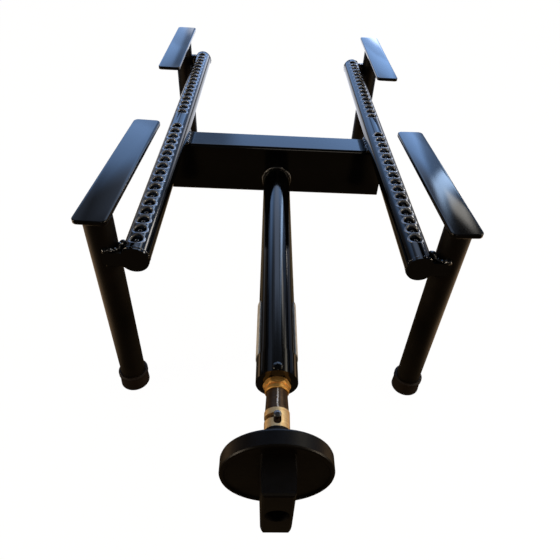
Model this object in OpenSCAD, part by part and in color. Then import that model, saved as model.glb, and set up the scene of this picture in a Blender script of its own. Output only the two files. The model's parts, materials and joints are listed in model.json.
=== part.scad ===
// Propane burner stand: two ported burner tubes on a box manifold, four legs with
// kettle rests, and a mixing tube with a clip-on air shutter, a jet and a quarter-turn valve.
// +X is right, +Y points away from the knob, +Z is up, and the floor is z = 0.

/* [Burner tubes] */
// Distance between the two burner tubes, centre to centre
tube_spacing = 250; // [200:1:320]
// Length of a burner tube over its end caps
tube_len = 535; // [440:1:640]
// Outside diameter of a burner tube
tube_od = 25.4; // [24:0.1:34]
// Wall of a burner tube
tube_wall = 1.6; // [1:0.1:2]
// Height of the burner tubes' axis above the floor
burner_h = 188; // [160:1:260]
// Gap all round between a burner tube and the gas tube inside it
shroud_gap = 2; // [1.5:0.1:2.5]
// Wall of the gas tube
gas_tube_wall = 1.5; // [1:0.1:2]
// Thickness of the plate that closes each end of a burner tube and reaches over to the leg
cap_t = 2.5; // [1.5:0.1:4]
// Height of the part of that plate that reaches over to the leg
ear_h = 14; // [8:0.5:18]
// Reach of that part past the burner tube's axis
ear_reach = 27.5; // [24:0.5:32]
// Length of the spigot on an end cap that carries the gas tube
cap_spigot = 8; // [5:0.5:14]

/* [Flame ports] */
// Diameter of the flame pockets in the burner tubes
pocket_d = 13; // [9:0.1:13.6]
// Distance from one flame port to the next
port_pitch = 14.4; // [14.2:0.1:20]
// Diameter of a flame port
port_d = 2.6; // [1.5:0.1:3.6]
// Diameter of the raised rim round a flame port
rim_d = 5.6; // [5:0.1:7]
// Height of the raised rim above the gas tube
rim_h = 0.7; // [0.3:0.1:1]
// Bare stretch over the manifold between the front row and the rear row of ports
row_gap = 43; // [36:1:70]
// Distance kept from the last port's centre to the tube's end
port_margin = 14; // [12:0.5:30]
// Ports that each row of the right tube has fewer than the left tube
right_fewer = 1; // [0:1:3]

/* [Manifold] */
// Depth of the manifold box, front to back
manifold_depth = 40; // [36:1:60]
// Height of the manifold box
manifold_h = 64; // [56:1:80]
// Wall of the manifold box
manifold_wall = 2; // [1.5:0.1:3]
// Outside radius of the manifold box's long edges
manifold_edge_r = 4; // [3.2:0.1:6]
// Thickness of the plate that closes each end of the box
end_plate_t = 2; // [1.5:0.1:4]
// Outside diameter of a gas riser
riser_od = 12; // [8:0.5:13]
// Wall of a gas riser
riser_wall = 1.5; // [1:0.1:2]
// Length of a gas riser that shows inside the box and inside the gas tube
riser_reach = 3; // [1:0.5:4]

/* [Legs and rests] */
// Outside diameter of a leg
leg_od = 25.4; // [20:0.1:32]
// Wall of a leg
leg_wall = 1.6; // [1:0.1:3]
// Gap between a burner tube and a leg, filled by the weld
leg_gap = 3.8; // [2:0.1:6]
// Width of a kettle rest
rest_w = 28.5; // [26:0.5:45]
// Length of a kettle rest
rest_len = 195; // [120:1:220]
// Thickness of a kettle rest
rest_t = 4; // [3:0.1:8]
// Corner radius of a kettle rest
rest_corner_r = 5; // [2:0.5:12]
// Chamfer along a kettle rest's top edges
rest_chamfer = 0.8; // [0.3:0.1:1.5]
// Length of a front rest past the outer side of its leg
front_rest_overhang = 8.5; // [2:0.5:20]
// Length of a rear rest past the outer side of its leg
rear_rest_overhang = 21; // [2:0.5:26]
// Distance of the front rests' outer ends from the legs' axes, towards the burner tubes
front_rest_shift = 0; // [0:0.5:4]
// Angle that the front rests turn in towards the burner tubes
front_rest_toe = 2.8; // [0:0.1:4]
// Distance of the rear rests' outer ends from the legs' axes, towards the burner tubes
rear_rest_shift = 3.5; // [0:0.5:4]
// Angle that the rear rests turn in towards the burner tubes
rear_rest_toe = 0.3; // [0:0.1:4]
// Height of the kettle rests' top above the burner tubes' axis
rest_rise = 43.5; // [36:0.5:90]
// Height of a foot cap
foot_h = 20.5; // [16:0.5:40]
// Wall of a foot cap
foot_wall = 2.5; // [2:0.1:5]
// Thickness of a foot cap's floor
foot_floor = 4; // [2.5:0.1:8]

/* [Mixing tube] */
// Outside diameter of the mixing tube
mixing_od = 33.7; // [32:0.1:42]
// Wall of the mixing tube
mixing_wall = 2; // [1.5:0.1:2.5]
// Length of the mixing tube in front of the manifold
mixing_len = 331; // [260:1:420]
// Distance of the mixing tube's axis below the middle of the manifold
mixing_drop = 12.7; // [0:0.1:13]
// Length of the sleeve round the mixing tube's mouth
sleeve_len = 24; // [12:0.5:40]
// Wall of that sleeve
sleeve_wall = 0.7; // [0.5:0.1:2]
// Length of the air window in the underside of the mixing tube
window_len = 48; // [10:1:54]
// Width of the air window
window_w = 24; // [12:0.5:26]
// Corner radius of the air window
window_r = 3; // [1:0.5:4.5]
// Length of the air shutter
shutter_len = 64; // [62:1:80]
// Sheet thickness of the air shutter
shutter_t = 1.1; // [0.8:0.1:1.5]
// Running gap between the air shutter and the mixing tube
shutter_gap = 0.3; // [0.2:0.05:0.5]
// Angle that each arm of the air shutter reaches above the tube's sides
shutter_wrap = 27; // [10:1:40]
// Gap between the sleeve and the closed air shutter
shutter_park = 0.8; // [0.5:0.1:8]
// Head diameter of the screw that holds the sleeve and the plug
plug_head_d = 8.5; // [6:0.1:10]
// Head height of that screw
plug_head_h = 2.2; // [1.5:0.1:4]
// Shank diameter of that screw
plug_shank_d = 4; // [3:0.1:4.5]

/* [Jet] */
// Thickness of the plug in the mixing tube's mouth
plug_t = 8; // [5:0.5:14]
// Width of the jet holder's hexagon across its flats
hex_af = 20; // [18:0.5:22]
// Length of the jet holder's hexagon
hex_len = 5.6; // [4:0.1:14]
// Diameter of the round ring in front of the hexagon
ring_d = 19.8; // [19.2:0.1:24]
// Length of that ring
ring_len = 4.4; // [2:0.1:6]
// Diameter of the jet holder's spigot in the plug
holder_spigot_d = 16; // [15:0.5:20]
// Length of the spigot that stands out behind the plug
holder_reach = 6; // [3:0.5:12]
// Length of the jet's nozzle behind its own hexagon
nozzle_len = 7; // [4:0.5:12]
// Diameter of the jet's orifice
orifice_d = 1.4; // [1:0.1:2.5]

/* [Gas valve] */
// Diameter of the valve body where it meets the jet holder
body_rear_d = 17.1; // [16:0.1:19]
// Diameter of the valve body where it meets the collar
body_front_d = 18.9; // [18:0.1:19.6]
// Visible length of the valve body
body_len = 18.8; // [18:0.1:30]
// Diameter of the valve plug
plug_d = 9; // [8:0.1:10]
// Running clearance round the valve plug and its stem
plug_clear = 0.05; // [0.03:0.01:0.1]
// Diameter of the stem
stem_d = 6; // [5.5:0.1:6.5]
// Diameter of the gas passages
passage_d = 4; // [2.5:0.1:4.5]
// Outside diameter of the hose spigot at the gas inlet
inlet_d = 9; // [8:0.1:11]
// Length of the hose spigot
inlet_len = 18; // [12:0.5:30]

/* [Collar and guide screw] */
// Outside diameter of the slotted collar
collar_d = 20; // [19.6:0.1:24]
// Visible length of the slotted collar
collar_len = 16.2; // [15:0.1:24]
// Diameter of the valve body's spigot inside the collar
spigot_d = 15.6; // [14:0.1:16]
// Running clearance between the collar and that spigot
collar_clear = 0.08; // [0.05:0.01:0.1]
// Width of the collar's slot along the collar
slot_axial_w = 6; // [4:0.1:7]
// Width of the collar's slot round the collar
slot_round_w = 4; // [3.8:0.1:5.5]
// Angle that the knob turns from closed to open
turn_angle = 90; // [45:1:120]
// Distance from the collar's rear end to the guide screw
screw_setback = 6.5; // [5.5:0.1:7.5]
// Head diameter of the guide screw
guide_head_d = 5.8; // [4:0.1:7]
// Head height of the guide screw
guide_head_h = 1.8; // [1:0.1:3]
// Shank diameter of the guide screw
guide_shank_d = 3; // [2.5:0.1:3.4]

/* [Knob] */
// Diameter of the knob's disc
disc_d = 82; // [70:0.2:100]
// Thickness of the knob's disc
disc_t = 13.6; // [7:0.1:16]
// Depth of the dish in the disc's front face
dish_depth = 1.2; // [0.5:0.1:2]
// Width of the rim round that dish
dish_rim = 3; // [2:0.1:6]
// Diameter of the knob's neck
neck_d = 20; // [19:0.1:26]
// Length of the knob's neck
neck_len = 21; // [16:0.5:30]
// Width of the grip at the disc
grip_w = 25; // [24:0.5:30]
// Width that the grip loses by its front face
grip_draft = 3; // [0:0.1:4]
// Height of the grip
grip_h = 60; // [48:0.5:64]
// Depth of the grip in front of the disc
grip_depth = 27; // [20:0.1:36]
// Diameter of the hole in the grip's front face
grip_hole_d = 17; // [10:0.1:18]
// Depth of that hole
grip_hole_depth = 16; // [8:0.5:18]

/* [Fits and welds] */
// Clearance between pieces that fit into each other
fit = 0.1; // [0.05:0.01:0.15]
// Gap left between a weld bead and the round tubes that it joins
weld_gap = 0.1; // [0.05:0.01:0.2]
// Size of the weld beads
weld_r = 3; // [2:0.1:3.5]

/* [Hidden] */
$fn = 64;
eps = 0.5;

// Colours of the finishes
paint = "#1c1d20";
rubber = "#26221f";
brass = "#c79a45";
bronze = "#4a382c";
steel = "#b9b7b0";
plastic = "#151515";

// Lengths in front of the manifold, which place the model about its own middle
front_reach = manifold_depth / 2 + mixing_len + hex_len + ring_len + body_len + collar_len
    + neck_len + disc_t + grip_depth;
back_reach = tube_len / 2 - cap_t + rear_rest_overhang;

// Places along Y, from the rear to the front
burner_y = (front_reach - back_reach) / 2;
box_front_y = burner_y - manifold_depth / 2;
mouth_y = box_front_y - mixing_len;
body_rear_y = mouth_y - hex_len - ring_len;
body_front_y = body_rear_y - body_len;
collar_front_y = body_front_y - collar_len;
disc_rear_y = collar_front_y - neck_len;
leg_dy = tube_len / 2 - cap_t - leg_od / 2;

// Places along X
tube_x = tube_spacing / 2;
leg_x = tube_x + tube_od / 2 + leg_gap + leg_od / 2;

// Heights
manifold_top = burner_h - tube_od / 2;
manifold_mid = manifold_top - manifold_h / 2;
mixing_z = manifold_mid - mixing_drop;
rest_top = burner_h + rest_rise;
rest_under = rest_top - rest_t;

// Sizes that follow from the driving ones
gas_tube_od = tube_od - 2 * tube_wall - 2 * shroud_gap;
gas_tube_id = gas_tube_od - 2 * gas_tube_wall;
mixing_id = mixing_od - 2 * mixing_wall;
box_len = tube_spacing + tube_od;
sleeve_od = mixing_od + 2 * fit + 2 * sleeve_wall;
shutter_front = sleeve_len + shutter_park;
plug_screw_depth = sleeve_wall + mixing_wall + 3;

// Fixed sizes inside the jet and the valve
ear_corner_r = 3;
holder_bore = 12;
jet_thread_d = 6;
jet_thread_len = 4.5;
jet_hex_af = 10;
jet_hex_len = 4;
jet_tip_d = 3.4;
jet_root_d = 7;
jet_bore = 3;
body_spigot_len = 8;
chamber_rear = 4;
gland_len = 5;
seal_t = 2.5;
inlet_z = 9;
inlet_boss_r = 12;
inlet_boss_d = 13;
inlet_thread_d = 8;
inlet_thread_len = 4.5;
inlet_hex_af = 14;
inlet_hex_t = 6;
guide_screw_depth = 2.3;
collar_bore = spigot_d + 2 * collar_clear;
collar_web = 3;
spigot_len = collar_len - collar_web - 0.4;
collar_tail_d = 13;
collar_tail = 8;
slot_end = screw_setback + 5;
knob_screw_head_d = 6;
knob_screw_head_h = 2.6;
knob_screw_d = 3;
knob_screw_len = 11;
stem_recess = 5;
stem_front = body_len + collar_len + neck_len + disc_t + grip_depth - grip_hole_depth
    - stem_recess;
ends = [-1, 1];

// Local +Z runs towards -Y here, with local +X right and local +Y up, as seen by the user
module facing_user(y) {
    translate([0, y, mixing_z]) rotate([90, 0, 0]) children();
}

// Local +Z runs towards +Y here
module along_tube(x, y, z) {
    translate([x, y, z]) rotate([-90, 0, 0]) children();
}

module pipe(od, id, len) {
    difference() {
        cylinder(d = od, h = len);
        translate([0, 0, -eps]) cylinder(d = id, h = len + 2 * eps);
    }
}

// Rectangle with round corners, centred on the origin
module round_rect(w, h, r) {
    union() {
        square([w - 2 * r, h], center = true);
        square([w, h - 2 * r], center = true);
        for (x = ends, y = ends) translate([x * (w / 2 - r), y * (h / 2 - r)]) circle(r = r);
    }
}

// Port places along one tube, measured from its middle; "fewer" ports are left out
// at the front end of the front row and beside the manifold in the rear row
ports_in_row = floor((tube_len / 2 - port_margin - row_gap / 2) / port_pitch) + 1;
function port_places(fewer) = concat(
    [for (i = [0:ports_in_row - 1 - fewer]) -row_gap / 2 - i * port_pitch],
    [for (i = [fewer:ports_in_row - 1]) row_gap / 2 + i * port_pitch]
);

// ---- Burner tubes ----

module burner_tube(side, fewer) {
    color(paint) difference() {
        along_tube(side * tube_x, burner_y - tube_len / 2 + cap_t, burner_h)
            pipe(tube_od, tube_od - 2 * tube_wall, tube_len - 2 * cap_t);
        for (p = port_places(fewer))
            translate([side * tube_x, burner_y + p, burner_h]) cylinder(d = pocket_d, h = tube_od);
        riser_hole(side);
    }
}

module gas_tube(side, fewer) {
    color(paint) difference() {
        union() {
            along_tube(side * tube_x, burner_y - tube_len / 2 + cap_t, burner_h)
                cylinder(d = gas_tube_od, h = tube_len - 2 * cap_t);
            for (p = port_places(fewer))
                translate([side * tube_x, burner_y + p, burner_h])
                    cylinder(d = rim_d, h = gas_tube_od / 2 + rim_h, $fn = 32);
        }
        along_tube(side * tube_x, burner_y - tube_len / 2, burner_h)
            cylinder(d = gas_tube_id, h = tube_len);
        for (p = port_places(fewer))
            translate([side * tube_x, burner_y + p, burner_h])
                cylinder(d = port_d, h = tube_od, $fn = 24);
        riser_hole(side);
    }
}

module riser_hole(side) {
    translate([side * tube_x, burner_y, burner_h - tube_od])
        cylinder(d = riser_od + 2 * fit, h = tube_od);
}

// End plate: a disc on the tube's end with a spigot inside the gas tube, and an ear that
// lies against the leg; end is -1 in front, 1 behind
module tube_cap(side, end) {
    color(paint)
    translate([side * tube_x, burner_y + end * (tube_len / 2 - cap_t), burner_h])
        rotate([-90 * end, 0, 0]) {
            translate([0, 0, -cap_spigot]) cylinder(d = gas_tube_id - 2 * fit, h = cap_spigot + eps);
            linear_extrude(cap_t) union() {
                circle(d = tube_od);
                translate([side * ear_reach / 2, 0]) round_rect(ear_reach, ear_h, ear_corner_r);
            }
        }
}

// ---- Manifold ----

module manifold_box() {
    tube_l = box_len - 2 * end_plate_t;
    color(paint) difference() {
        translate([-tube_l / 2, burner_y, manifold_mid]) rotate([90, 0, 90])
            linear_extrude(tube_l) difference() {
                round_rect(manifold_depth, manifold_h, manifold_edge_r);
                round_rect(manifold_depth - 2 * manifold_wall, manifold_h - 2 * manifold_wall,
                    manifold_edge_r - manifold_wall);
            }
        for (side = ends) translate([side * tube_x, burner_y, manifold_top - 2 * manifold_wall])
            cylinder(d = riser_od + 2 * fit, h = 4 * manifold_wall);
        along_tube(0, box_front_y - eps, mixing_z)
            cylinder(d = mixing_id, h = manifold_wall + 2 * eps);
    }
}

module manifold_end(side) {
    color(paint)
    translate([side * (box_len / 2 - end_plate_t / 2), burner_y, manifold_mid])
        rotate([90, 0, 90]) linear_extrude(end_plate_t, center = true)
            round_rect(manifold_depth, manifold_h, manifold_edge_r);
}

module gas_riser(side) {
    low = manifold_top - manifold_wall - riser_reach;
    high = burner_h - gas_tube_id / 2 + riser_reach;
    color(paint) translate([side * tube_x, burner_y, low])
        pipe(riser_od, riser_od - 2 * riser_wall, high - low);
}

// ---- Legs, feet and rests ----

module at_leg(side, end) {
    translate([side * leg_x, burner_y + end * leg_dy, 0]) children();
}

module leg(side, end) {
    color(paint) at_leg(side, end) translate([0, 0, foot_floor])
        pipe(leg_od, leg_od - 2 * leg_wall, rest_under - foot_floor);
}

// Rubber cup with a chamfered sole and a thick lip
module foot_cap(side, end) {
    inner = leg_od / 2 + fit;
    outer = inner + foot_wall;
    lip = 0.9;
    color(rubber) at_leg(side, end) rotate_extrude() polygon([
        [0, 0], [outer - 1.5, 0], [outer, 1.5], [outer - 0.6, foot_h - 5],
        [outer - 0.6 + lip, foot_h - 4.2], [outer - 0.6 + lip, foot_h - 1.2],
        [outer - 1.2, foot_h], [inner, foot_h], [inner, foot_floor], [0, foot_floor]
    ]);
}

// Flat bar on a leg, from just past the leg towards the middle of the stand
module kettle_rest(side, end) {
    color(paint) rest_place(side, end) translate([0, -end * rest_len / 2, 0]) intersection() {
        linear_extrude(rest_t) round_rect(rest_w, rest_len, rest_corner_r);
        rotate([90, 0, 0]) linear_extrude(rest_len, center = true)
            chamfered_bar(rest_w, rest_t);
        rotate([90, 0, 90]) linear_extrude(rest_w, center = true)
            chamfered_bar(rest_len, rest_t);
    }
}

// Middle of a rest's outer end, on its underside, turned with the rest
module rest_place(side, end) {
    shift = end < 0 ? front_rest_shift : rear_rest_shift;
    toe = end < 0 ? front_rest_toe : rear_rest_toe;
    overhang = end < 0 ? front_rest_overhang : rear_rest_overhang;
    translate([side * (leg_x - shift), burner_y + end * (leg_dy + leg_od / 2 + overhang),
            rest_under])
        rotate([0, 0, -side * end * toe]) children();
}

// Section of a bar that stands on the X axis, with chamfered upper corners
module chamfered_bar(w, h) {
    c = rest_chamfer;
    polygon([[-w / 2, 0], [w / 2, 0], [w / 2, h - c], [w / 2 - c, h], [c - w / 2, h], [-w / 2, h - c]]);
}

// ---- Weld beads ----

// Two lumps between a burner tube and a leg, behind the end plate's ear, at each leg
module leg_welds() {
    big_r = leg_gap / 2 + weld_r;
    small_r = big_r - 1;
    lump_x = tube_x + tube_od / 2 + leg_gap / 2;
    first_y = tube_len / 2 - cap_t - big_r - weld_gap;
    color(paint) for (side = ends, end = ends) difference() {
        union() {
            translate([side * lump_x, burner_y + end * first_y, burner_h - tube_od / 3])
                bead_post(big_r, tube_od * 0.6);
            translate([side * lump_x, burner_y + end * (first_y - big_r), burner_h - tube_od / 3])
                bead_post(small_r, tube_od / 2);
        }
        along_tube(side * tube_x, burner_y - tube_len / 2, burner_h)
            cylinder(d = tube_od + 2 * weld_gap, h = tube_len);
        at_leg(side, end) cylinder(d = leg_od + 2 * weld_gap, h = rest_top);
    }
}

// Upright bead with eased ends
module bead_post(r, h) {
    e = r * 0.4;
    rotate_extrude() polygon([[0, 0], [r - e, 0], [r, e], [r, h - e], [r - e, h], [0, h]]);
}

// A fillet ring under each rest, round the leg's top, cut off at the rest's sides
module rest_welds() {
    r = leg_od / 2 + weld_gap;
    color(paint) for (side = ends, end = ends) intersection() {
        at_leg(side, end) translate([0, 0, rest_under])
            rotate_extrude() polygon([[r, 0], [r + weld_r, 0], [r, -weld_r]]);
        rest_place(side, end) translate([-rest_w / 2, -rest_len, -rest_t])
            cube([rest_w, 2 * rest_len, rest_t]);
    }
}

// A bead on each side of a burner tube where it lies on the manifold
module manifold_welds() {
    bead_x = riser_od / 2 + weld_r + 2 * fit;
    bead_z = weld_r * 0.45;
    color(paint) for (side = ends, flank = ends) difference() {
        along_tube(side * tube_x + flank * bead_x, burner_y - manifold_depth / 2 + 1,
                manifold_top + bead_z)
            cylinder(r = weld_r, h = manifold_depth - 2);
        along_tube(side * tube_x, burner_y - manifold_depth, burner_h)
            cylinder(d = tube_od + 2 * weld_gap, h = 2 * manifold_depth);
        translate([side * tube_x - tube_od, burner_y - manifold_depth, manifold_top - 2 * weld_r])
            cube([2 * tube_od, 2 * manifold_depth, 2 * weld_r]);
    }
}

// The bead round the mixing tube at the manifold's front face
module mixing_tube_weld() {
    r = mixing_od / 2 + weld_gap;
    color(paint) facing_user(box_front_y)
        rotate_extrude() polygon([
            [r, 0], [r + weld_r, 0], [r + weld_r * 0.8, weld_r * 0.5],
            [r + weld_r * 0.45, weld_r * 0.85], [r, weld_r]
        ]);
}

// ---- Mixing tube and air shutter ----

// Open at the manifold, with an air window in the underside behind the sleeve
module mixing_tube() {
    color(paint) difference() {
        along_tube(0, mouth_y, mixing_z) pipe(mixing_od, mixing_id, mixing_len);
        translate([0, mouth_y + shutter_front + shutter_len / 2, mixing_z - mixing_od])
            linear_extrude(mixing_od) round_rect(window_w, window_len, window_r);
        plug_screw_hole(mixing_od);
    }
}

module mouth_sleeve() {
    color(paint) difference() {
        along_tube(0, mouth_y, mixing_z) pipe(sleeve_od, mixing_od + 2 * fit, sleeve_len);
        plug_screw_hole(mixing_od);
    }
}

module tube_plug() {
    color(paint) difference() {
        facing_user(mouth_y) translate([0, 0, -plug_t])
            pipe(mixing_id - 2 * fit, holder_spigot_d + 2 * fit, plug_t);
        plug_screw_hole(plug_screw_depth + 2 * fit);
    }
}

// Origin on top of the sleeve, over the middle of the plug
module plug_screw_place() {
    translate([0, mouth_y + plug_t / 2, mixing_z + sleeve_od / 2]) children();
}

module plug_screw_hole(depth) {
    plug_screw_place() translate([0, 0, -min(depth, sleeve_od / 2)])
        cylinder(d = plug_shank_d + 2 * fit, h = sleeve_od);
}

module plug_screw() {
    color(paint) plug_screw_place() difference() {
        union() {
            translate([0, 0, fit]) pan_head(plug_head_d, plug_head_h);
            translate([0, 0, -plug_screw_depth])
                cylinder(d = plug_shank_d, h = plug_screw_depth + plug_head_h / 2);
        }
        cross_recess(plug_head_d, plug_head_h + fit);
    }
}

// Sheet clip round the underside of the mixing tube, with an arm up each side
module air_shutter() {
    color(paint) along_tube(0, mouth_y + shutter_front, mixing_z)
        rotate(-shutter_wrap) rotate_extrude(angle = 180 + 2 * shutter_wrap)
            translate([mixing_od / 2 + shutter_gap, 0]) square([shutter_t, shutter_len]);
}

// ---- Screw parts ----

// Domed head that stands on the XY plane
module pan_head(d, h) {
    rotate_extrude() polygon([
        [0, 0], [d / 2, 0], [d / 2, h * 0.45], [d * 0.44, h * 0.75], [d * 0.32, h * 0.94], [0, h]
    ]);
}

// Cross recess from height "top" down to half of it
module cross_recess(d, top) {
    for (a = [0, 90]) rotate(a) translate([-0.28 * d, -0.06 * d, top / 2])
        cube([0.56 * d, 0.12 * d, top]);
}

// Hexagonal bar with both ends chamfered to a circle
module hex_bar(af, len) {
    across = af / cos(30);
    c = (across - af) / 2;
    intersection() {
        cylinder(d = across, h = len, $fn = 6);
        rotate_extrude() polygon([
            [0, 0], [af / 2, 0], [across / 2, c], [across / 2, len - c], [af / 2, len], [0, len]
        ]);
    }
}

// ---- Jet ----

module jet_holder() {
    holder_len = hex_len + ring_len;
    color(brass) facing_user(mouth_y) difference() {
        union() {
            hex_bar(hex_af, hex_len);
            translate([0, 0, hex_len]) rotate_extrude() polygon([
                [0, -eps], [ring_d / 2 - 0.6, -eps], [ring_d / 2, 0.6],
                [ring_d / 2, ring_len - 0.6], [ring_d / 2 - 0.6, ring_len],
                [0, ring_len]
            ]);
            translate([0, 0, -plug_t - holder_reach])
                cylinder(d = holder_spigot_d, h = plug_t + holder_reach + eps);
        }
        translate([0, 0, holder_len - body_spigot_len - 1])
            cylinder(d = holder_bore + 2 * fit, h = body_spigot_len + 1 + eps);
        translate([0, 0, -plug_t - holder_reach - eps])
            cylinder(d = passage_d, h = plug_t + holder_reach + hex_len);
        translate([0, 0, -plug_t - holder_reach - eps])
            cylinder(d = jet_thread_d + 2 * fit, h = jet_thread_len + 2 * eps);
    }
}

// Small brass jet on the holder's rear end, pointing into the mixing tube
module gas_jet() {
    color(brass) facing_user(mouth_y) translate([0, 0, -plug_t - holder_reach]) difference() {
        union() {
            cylinder(d = jet_thread_d, h = jet_thread_len);
            translate([0, 0, -jet_hex_len]) hex_bar(jet_hex_af, jet_hex_len);
            translate([0, 0, -jet_hex_len - nozzle_len])
                cylinder(d1 = jet_tip_d, d2 = jet_root_d, h = nozzle_len + eps);
        }
        translate([0, 0, -jet_hex_len]) cylinder(d = jet_bore, h = 2 * jet_thread_len);
        translate([0, 0, -jet_hex_len - nozzle_len - eps])
            cylinder(d = orifice_d, h = nozzle_len + 2 * eps, $fn = 24);
    }
}

// ---- Gas valve; heights here are distances in front of the body's rear face ----

module valve_body() {
    plug_bore = plug_d + 2 * plug_clear;
    color(bronze) facing_user(body_rear_y) difference() {
        union() {
            translate([0, 0, -body_spigot_len]) cylinder(d = holder_bore, h = body_spigot_len + eps);
            cylinder(d1 = body_rear_d, d2 = body_front_d, h = body_len);
            cylinder(d = spigot_d, h = body_len + spigot_len);
            translate([0, 0, inlet_z]) rotate([90, 0, 0])
                cylinder(d = inlet_boss_d, h = inlet_boss_r);
        }
        translate([0, 0, chamber_rear])
            cylinder(d = plug_bore, h = body_len + spigot_len);
        translate([0, 0, -body_spigot_len - eps])
            cylinder(d = passage_d, h = body_spigot_len + chamber_rear + 2 * eps);
        translate([0, 0, inlet_z]) rotate([90, 0, 0]) {
            cylinder(d = passage_d, h = inlet_boss_r);
            translate([0, 0, inlet_boss_r - inlet_thread_len - eps])
                cylinder(d = inlet_thread_d + 2 * fit, h = inlet_thread_len + 2 * eps);
        }
        guide_screw_place() translate([0, 0, -guide_screw_depth - fit])
            cylinder(d = guide_shank_d + 2 * fit, h = spigot_d);
    }
}

// Origin on the spigot's top under the guide screw
module guide_screw_place() {
    translate([0, spigot_d / 2, body_len + screw_setback]) rotate([-90, 0, 0]) children();
}

module guide_screw() {
    head_base = (collar_d - spigot_d) / 2 + 0.3;
    color(steel) facing_user(body_rear_y) guide_screw_place() difference() {
        union() {
            translate([0, 0, -guide_screw_depth])
                cylinder(d = guide_shank_d, h = guide_screw_depth + head_base + eps);
            translate([0, 0, head_base]) pan_head(guide_head_d, guide_head_h);
        }
        translate([0, 0, head_base]) cross_recess(guide_head_d, guide_head_h);
    }
}

// Ring nut that keeps the seal and the plug in the body
module gland_nut() {
    color(brass) facing_user(body_rear_y)
        translate([0, 0, body_len + spigot_len - gland_len])
            pipe(plug_d + 2 * plug_clear - 0.1, stem_d + 2 * plug_clear, gland_len);
}

// Hose spigot under the valve body
module gas_inlet() {
    lead_in = 2;
    color(brass) facing_user(body_rear_y) translate([0, -inlet_boss_r, inlet_z])
        rotate([90, 0, 0]) difference() {
            union() {
                translate([0, 0, -inlet_thread_len])
                    cylinder(d = inlet_thread_d, h = inlet_thread_len + eps);
                hex_bar(inlet_hex_af, inlet_hex_t);
                cylinder(d = inlet_d, h = inlet_hex_t + inlet_len - lead_in);
                translate([0, 0, inlet_hex_t + inlet_len - lead_in])
                    cylinder(d1 = inlet_d, d2 = inlet_d - lead_in, h = lead_in);
            }
            translate([0, 0, -inlet_thread_len - eps])
                cylinder(d = passage_d, h = inlet_thread_len + inlet_hex_t + inlet_len + 2 * eps);
        }
}

// Plug with an L-shaped passage, in one piece with the stem that the knob turns
module valve_plug() {
    plug_len = body_len + spigot_len - gland_len - seal_t - chamber_rear - 2 * fit;
    color(brass) facing_user(body_rear_y) difference() {
        union() {
            translate([0, 0, chamber_rear + fit]) cylinder(d = plug_d, h = plug_len);
            translate([0, 0, chamber_rear + fit]) cylinder(d = stem_d, h = stem_front - chamber_rear);
        }
        translate([0, 0, chamber_rear - eps])
            cylinder(d = passage_d, h = inlet_z - chamber_rear + passage_d / 2);
        translate([0, 0, inlet_z]) rotate([0, 90, 0]) cylinder(d = passage_d, h = plug_d);
        translate([0, 0, stem_front - 8]) cylinder(d = knob_screw_d + 2 * fit, h = 10);
    }
}

// Seal ring round the stem, behind the gland nut
module stem_seal() {
    color(rubber) facing_user(body_rear_y)
        translate([0, 0, body_len + spigot_len - gland_len - seal_t])
            pipe(plug_d - 0.1, stem_d + 0.1, seal_t - fit);
}

// ---- Collar and knob ----

// Sleeve over the valve body's spigot, with the slot that the guide screw runs in
module slotted_collar() {
    slot_a = turn_angle + asin((guide_shank_d / 2 + 0.5) / (spigot_d / 2));
    color(brass) facing_user(body_front_y) difference() {
        union() {
            cylinder(d = collar_d, h = collar_len);
            cylinder(d = collar_tail_d, h = collar_len + collar_tail);
        }
        translate([0, 0, -eps]) cylinder(d = collar_bore, h = collar_len - collar_web + eps);
        cylinder(d = stem_d + 2 * fit, h = collar_len + collar_tail + eps);
        slot_along();
        translate([0, 0, screw_setback - guide_shank_d / 2 - 0.3]) slot_round(slot_a, slot_round_w);
    }
}

// Slot from the guide screw towards the knob
module slot_along() {
    hull_r = slot_axial_w / 2;
    rotate([-90, 0, 0]) translate([0, -screw_setback, 0]) {
        cylinder(r = hull_r, h = collar_d);
        translate([0, screw_setback - slot_end, 0]) cylinder(r = hull_r, h = collar_d);
        translate([-hull_r, screw_setback - slot_end, 0])
            cube([2 * hull_r, slot_end - screw_setback, collar_d]);
    }
}

// Slot round the collar, from just past its top to "a" degrees to the left
module slot_round(a, w) {
    start = 90 - asin((guide_shank_d / 2 + 0.5) / (spigot_d / 2));
    rotate([0, 0, start]) rotate_extrude(angle = 90 - start + a)
        translate([collar_bore / 2 - 1, 0]) square([collar_d, w]);
}

module control_knob() {
    r = disc_d / 2;
    color(plastic) facing_user(disc_rear_y) difference() {
        union() {
            // Disc with rounded outer edges and a dished front face
            rotate_extrude() polygon([
                [0, 0], [r - 2, 0], [r - 0.6, 0.6], [r, 2], [r, disc_t - 1.6],
                [r - 0.5, disc_t - 0.5], [r - 1.6, disc_t], [r - dish_rim, disc_t],
                [r - dish_rim - 1, disc_t - dish_depth], [0, disc_t - dish_depth]
            ]);
            translate([0, 0, -neck_len]) cylinder(d = neck_d, h = neck_len + eps);
            translate([0, 0, disc_t - dish_depth - eps]) grip(grip_depth + dish_depth + eps);
        }
        translate([0, 0, -neck_len - eps])
            cylinder(d = collar_tail_d + 2 * fit, h = collar_tail + eps + fit);
        translate([0, 0, -neck_len - eps])
            cylinder(d = stem_d + 2 * fit,
                h = neck_len + disc_t + grip_depth - grip_hole_depth - stem_recess + 2 * fit + eps);
        cylinder(d = knob_screw_d + 2 * fit, h = disc_t + grip_depth);
        translate([0, 0, disc_t + grip_depth - grip_hole_depth])
            cylinder(d = grip_hole_d, h = grip_hole_depth + eps);
    }
}

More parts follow.
